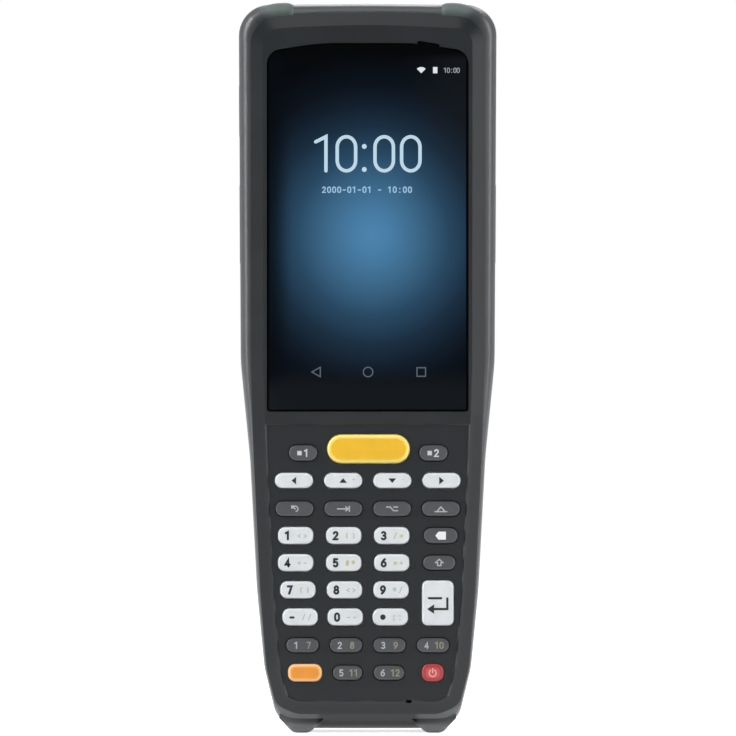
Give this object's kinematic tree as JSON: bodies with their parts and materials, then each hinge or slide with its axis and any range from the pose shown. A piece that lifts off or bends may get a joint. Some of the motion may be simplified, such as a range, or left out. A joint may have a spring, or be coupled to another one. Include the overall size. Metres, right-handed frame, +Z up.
{
  "type": "portable barcode data terminal",
  "caption": "Hand-held brick data terminal with a touch display over a keypad, scan triggers on both sides, a scan window in the top end and a hinged battery door in the back.",
  "frame": {"origin": "under the middle of the body, on the surface that its two feet stand on", "axes": "+Z up the length towards the scan window, the display and keypad face -Y, +X to the right of the reader"},
  "size_m": [0.0706, 0.028, 0.1995],
  "materials": {
    "face_plastic": "fine spark-eroded texture",
    "shell_plastic": "fine spark-eroded texture",
    "button_plastic": "satin",
    "seal_rubber": "moulded",
    "window_glass": "polished, printed black on the back",
    "display_panel": "polished",
    "cast_magnesium": "as cast",
    "silicone": "moulded",
    "board": "solder resist",
    "spring_steel": "bright",
    "engine_black": "moulded",
    "scan_glass": "tinted, polished",
    "gold": "plated",
    "battery_wrap": "smooth",
    "key_grey": "satin",
    "key_white": "satin",
    "key_yellow": "satin gloss",
    "key_orange": "satin gloss",
    "key_red": "clear red, backlit"
  },
  "bodies": {
    "housing": {"front_housing": "face_plastic", "rear_housing": "shell_plastic", "housing_seal": "seal_rubber", "touch_window": "window_glass", "display_module": "display_panel", "mid_frame": "cast_magnesium", "keypad_mat": "silicone", "keypad_board": "board", "dome_switches": "spring_steel", "main_board": "board", "scan_engine": "engine_black", "scan_window": "scan_glass", "camera_module": "engine_black", "camera_window": "scan_glass", "loudspeaker": "engine_black", "usb_connector": "spring_steel", "charge_contacts": "gold", "battery_pack": "battery_wrap", "battery_contacts": "gold", "housing_screws": "spring_steel"},
    "battery_door": {"battery_door": "shell_plastic", "latch_spring": "spring_steel"},
    "battery_latch": {"battery_latch": "face_plastic"},
    "scan_trigger_left": {"scan_trigger_left": "button_plastic"},
    "scan_trigger_right": {"scan_trigger_right": "button_plastic"},
    "volume_rocker": {"volume_rocker": "button_plastic"},
    "key_p1": {"key_p1": "key_grey"},
    "key_p2": {"key_p2": "key_grey"},
    "key_escape": {"key_escape": "key_grey"},
    "key_tab": {"key_tab": "key_grey"},
    "key_alt": {"key_alt": "key_grey"},
    "key_control": {"key_control": "key_grey"},
    "key_backspace": {"key_backspace": "key_grey"},
    "key_shift": {"key_shift": "key_grey"},
    "key_f1": {"key_f1": "key_grey"},
    "key_f2": {"key_f2": "key_grey"},
    "key_f3": {"key_f3": "key_grey"},
    "key_f4": {"key_f4": "key_grey"},
    "key_f5": {"key_f5": "key_grey"},
    "key_f6": {"key_f6": "key_grey"},
    "key_left": {"key_left": "key_white"},
    "key_up": {"key_up": "key_white"},
    "key_down": {"key_down": "key_white"},
    "key_right": {"key_right": "key_white"},
    "key_1": {"key_1": "key_white"},
    "key_2": {"key_2": "key_white"},
    "key_3": {"key_3": "key_white"},
    "key_4": {"key_4": "key_white"},
    "key_5": {"key_5": "key_white"},
    "key_6": {"key_6": "key_white"},
    "key_7": {"key_7": "key_white"},
    "key_8": {"key_8": "key_white"},
    "key_9": {"key_9": "key_white"},
    "key_minus": {"key_minus": "key_white"},
    "key_0": {"key_0": "key_white"},
    "key_point": {"key_point": "key_white"},
    "key_enter": {"key_enter": "key_white"},
    "key_scan": {"key_scan": "key_yellow"},
    "key_orange": {"key_orange": "key_orange"},
    "key_power": {"key_power": "key_red"}
  },
  "joints": [
    {"name": "battery_door_hinge", "type": "hinge", "parent": "housing", "child": "battery_door", "pos_m": [0, 0.0096, 0.029], "axis": [-1, 0, 0], "range_deg": [0, 75]},
    {"name": "battery_latch_slide", "type": "slide", "parent": "battery_door", "child": "battery_latch", "axis": [0, 0, 1], "range_m": [0, 0.003]},
    {"name": "scan_trigger_left_press", "type": "slide", "parent": "housing", "child": "scan_trigger_left", "axis": [1, 0, 0], "range_m": [0, 0.0008], "stiffness_N_per_m": 400, "springref_m": -0.0006},
    {"name": "scan_trigger_right_press", "type": "slide", "parent": "housing", "child": "scan_trigger_right", "axis": [-1, 0, 0], "range_m": [0, 0.0008], "stiffness_N_per_m": 400, "springref_m": -0.0006},
    {"name": "volume_rocker_tilt", "type": "hinge", "parent": "housing", "child": "volume_rocker", "pos_m": [-0.0334, 0, 0.17], "axis": [0, 1, 0], "range_deg": [-3, 3], "stiffness_Nm_per_rad": 0.03},
    {"name": "key_scan_press", "type": "slide", "parent": "housing", "child": "key_scan", "axis": [0, 1, 0], "range_m": [0, 0.0007], "stiffness_N_per_m": 300, "springref_m": -0.0005},
    {"name": "key_p1_press", "type": "slide", "parent": "housing", "child": "key_p1", "axis": [0, 1, 0], "range_m": [0, 0.0007], "stiffness_N_per_m": 300, "springref_m": -0.0005},
    {"name": "key_p2_press", "type": "slide", "parent": "housing", "child": "key_p2", "axis": [0, 1, 0], "range_m": [0, 0.0007], "stiffness_N_per_m": 300, "springref_m": -0.0005},
    {"name": "key_escape_press", "type": "slide", "parent": "housing", "child": "key_escape", "axis": [0, 1, 0], "range_m": [0, 0.0007], "stiffness_N_per_m": 300, "springref_m": -0.0005},
    {"name": "key_tab_press", "type": "slide", "parent": "housing", "child": "key_tab", "axis": [0, 1, 0], "range_m": [0, 0.0007], "stiffness_N_per_m": 300, "springref_m": -0.0005},
    {"name": "key_alt_press", "type": "slide", "parent": "housing", "child": "key_alt", "axis": [0, 1, 0], "range_m": [0, 0.0007], "stiffness_N_per_m": 300, "springref_m": -0.0005},
    {"name": "key_control_press", "type": "slide", "parent": "housing", "child": "key_control", "axis": [0, 1, 0], "range_m": [0, 0.0007], "stiffness_N_per_m": 300, "springref_m": -0.0005},
    {"name": "key_backspace_press", "type": "slide", "parent": "housing", "child": "key_backspace", "axis": [0, 1, 0], "range_m": [0, 0.0007], "stiffness_N_per_m": 300, "springref_m": -0.0005},
    {"name": "key_shift_press", "type": "slide", "parent": "housing", "child": "key_shift", "axis": [0, 1, 0], "range_m": [0, 0.0007], "stiffness_N_per_m": 300, "springref_m": -0.0005},
    {"name": "key_f1_press", "type": "slide", "parent": "housing", "child": "key_f1", "axis": [0, 1, 0], "range_m": [0, 0.0007], "stiffness_N_per_m": 300, "springref_m": -0.0005},
    {"name": "key_f2_press", "type": "slide", "parent": "housing", "child": "key_f2", "axis": [0, 1, 0], "range_m": [0, 0.0007], "stiffness_N_per_m": 300, "springref_m": -0.0005},
    {"name": "key_f3_press", "type": "slide", "parent": "housing", "child": "key_f3", "axis": [0, 1, 0], "range_m": [0, 0.0007], "stiffness_N_per_m": 300, "springref_m": -0.0005},
    {"name": "key_f4_press", "type": "slide", "parent": "housing", "child": "key_f4", "axis": [0, 1, 0], "range_m": [0, 0.0007], "stiffness_N_per_m": 300, "springref_m": -0.0005},
    {"name": "key_f5_press", "type": "slide", "parent": "housing", "child": "key_f5", "axis": [0, 1, 0], "range_m": [0, 0.0007], "stiffness_N_per_m": 300, "springref_m": -0.0005},
    {"name": "key_f6_press", "type": "slide", "parent": "housing", "child": "key_f6", "axis": [0, 1, 0], "range_m": [0, 0.0007], "stiffness_N_per_m": 300, "springref_m": -0.0005},
    {"name": "key_left_press", "type": "slide", "parent": "housing", "child": "key_left", "axis": [0, 1, 0], "range_m": [0, 0.0007], "stiffness_N_per_m": 300, "springref_m": -0.0005},
    {"name": "key_up_press", "type": "slide", "parent": "housing", "child": "key_up", "axis": [0, 1, 0], "range_m": [0, 0.0007], "stiffness_N_per_m": 300, "springref_m": -0.0005},
    {"name": "key_down_press", "type": "slide", "parent": "housing", "child": "key_down", "axis": [0, 1, 0], "range_m": [0, 0.0007], "stiffness_N_per_m": 300, "springref_m": -0.0005},
    {"name": "key_right_press", "type": "slide", "parent": "housing", "child": "key_right", "axis": [0, 1, 0], "range_m": [0, 0.0007], "stiffness_N_per_m": 300, "springref_m": -0.0005},
    {"name": "key_1_press", "type": "slide", "parent": "housing", "child": "key_1", "axis": [0, 1, 0], "range_m": [0, 0.0007], "stiffness_N_per_m": 300, "springref_m": -0.0005},
    {"name": "key_2_press", "type": "slide", "parent": "housing", "child": "key_2", "axis": [0, 1, 0], "range_m": [0, 0.0007], "stiffness_N_per_m": 300, "springref_m": -0.0005},
    {"name": "key_3_press", "type": "slide", "parent": "housing", "child": "key_3", "axis": [0, 1, 0], "range_m": [0, 0.0007], "stiffness_N_per_m": 300, "springref_m": -0.0005},
    {"name": "key_4_press", "type": "slide", "parent": "housing", "child": "key_4", "axis": [0, 1, 0], "range_m": [0, 0.0007], "stiffness_N_per_m": 300, "springref_m": -0.0005},
    {"name": "key_5_press", "type": "slide", "parent": "housing", "child": "key_5", "axis": [0, 1, 0], "range_m": [0, 0.0007], "stiffness_N_per_m": 300, "springref_m": -0.0005},
    {"name": "key_6_press", "type": "slide", "parent": "housing", "child": "key_6", "axis": [0, 1, 0], "range_m": [0, 0.0007], "stiffness_N_per_m": 300, "springref_m": -0.0005},
    {"name": "key_7_press", "type": "slide", "parent": "housing", "child": "key_7", "axis": [0, 1, 0], "range_m": [0, 0.0007], "stiffness_N_per_m": 300, "springref_m": -0.0005},
    {"name": "key_8_press", "type": "slide", "parent": "housing", "child": "key_8", "axis": [0, 1, 0], "range_m": [0, 0.0007], "stiffness_N_per_m": 300, "springref_m": -0.0005},
    {"name": "key_9_press", "type": "slide", "parent": "housing", "child": "key_9", "axis": [0, 1, 0], "range_m": [0, 0.0007], "stiffness_N_per_m": 300, "springref_m": -0.0005},
    {"name": "key_minus_press", "type": "slide", "parent": "housing", "child": "key_minus", "axis": [0, 1, 0], "range_m": [0, 0.0007], "stiffness_N_per_m": 300, "springref_m": -0.0005},
    {"name": "key_0_press", "type": "slide", "parent": "housing", "child": "key_0", "axis": [0, 1, 0], "range_m": [0, 0.0007], "stiffness_N_per_m": 300, "springref_m": -0.0005},
    {"name": "key_point_press", "type": "slide", "parent": "housing", "child": "key_point", "axis": [0, 1, 0], "range_m": [0, 0.0007], "stiffness_N_per_m": 300, "springref_m": -0.0005},
    {"name": "key_enter_press", "type": "slide", "parent": "housing", "child": "key_enter", "axis": [0, 1, 0], "range_m": [0, 0.0007], "stiffness_N_per_m": 300, "springref_m": -0.0005},
    {"name": "key_orange_press", "type": "slide", "parent": "housing", "child": "key_orange", "axis": [0, 1, 0], "range_m": [0, 0.0007], "stiffness_N_per_m": 300, "springref_m": -0.0005},
    {"name": "key_power_press", "type": "slide", "parent": "housing", "child": "key_power", "axis": [0, 1, 0], "range_m": [0, 0.0007], "stiffness_N_per_m": 300, "springref_m": -0.0005}
  ]
}
